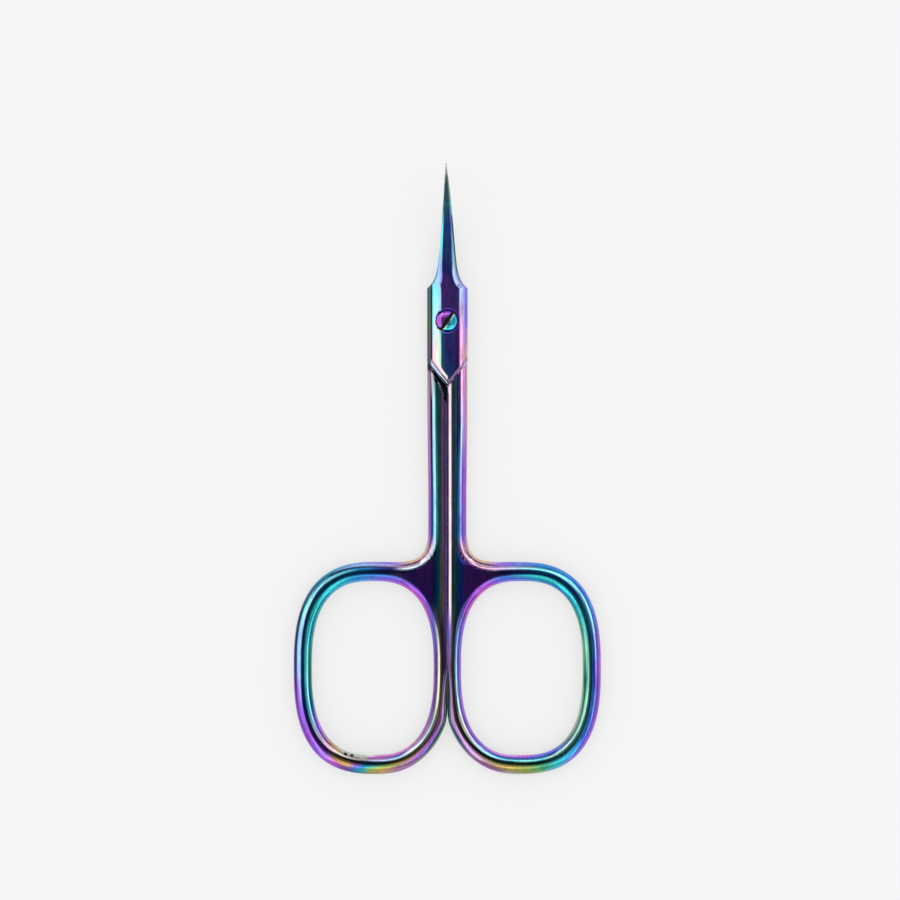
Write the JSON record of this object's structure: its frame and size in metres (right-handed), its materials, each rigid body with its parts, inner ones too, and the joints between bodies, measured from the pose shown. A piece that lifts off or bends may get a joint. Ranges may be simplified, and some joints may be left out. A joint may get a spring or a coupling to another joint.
{
  "type": "cuticle scissors",
  "caption": "Small needle-point cuticle scissors with finely curved blades, oval finger rings and a slotted pivot screw, in a polished rainbow coating.",
  "frame": {"origin": "on the pivot axis, in the plane of the joint's flat back, which the scissors rest on", "axes": "+Y from the pivot to the blade tips, +Z from the back to the screw's head, +X to the front half's finger ring"},
  "size_m": [0.0462, 0.0917, 0.0067],
  "materials": {
    "coated_steel": "mirror-polished stainless steel with a thin interference coating that runs through violet, blue, teal, green and gold",
    "coated_screw": "polished steel screw with the same interference coating, duller in the slot"
  },
  "bodies": {
    "rear_half": {"rear_half": "coated_steel"},
    "front_half": {"front_half": "coated_steel"},
    "pivot_screw": {"pivot_screw": "coated_screw"}
  },
  "joints": [
    {"name": "pivot", "type": "hinge", "parent": "rear_half", "child": "front_half", "pos_m": [0, 0, 0], "axis": [0, 0, 1], "range_deg": [0, 75]},
    {"name": "tension_screw", "type": "hinge", "parent": "rear_half", "child": "pivot_screw", "pos_m": [0, 0, 0], "axis": [0, 0, 1], "range_deg": [-30, 30]}
  ]
}
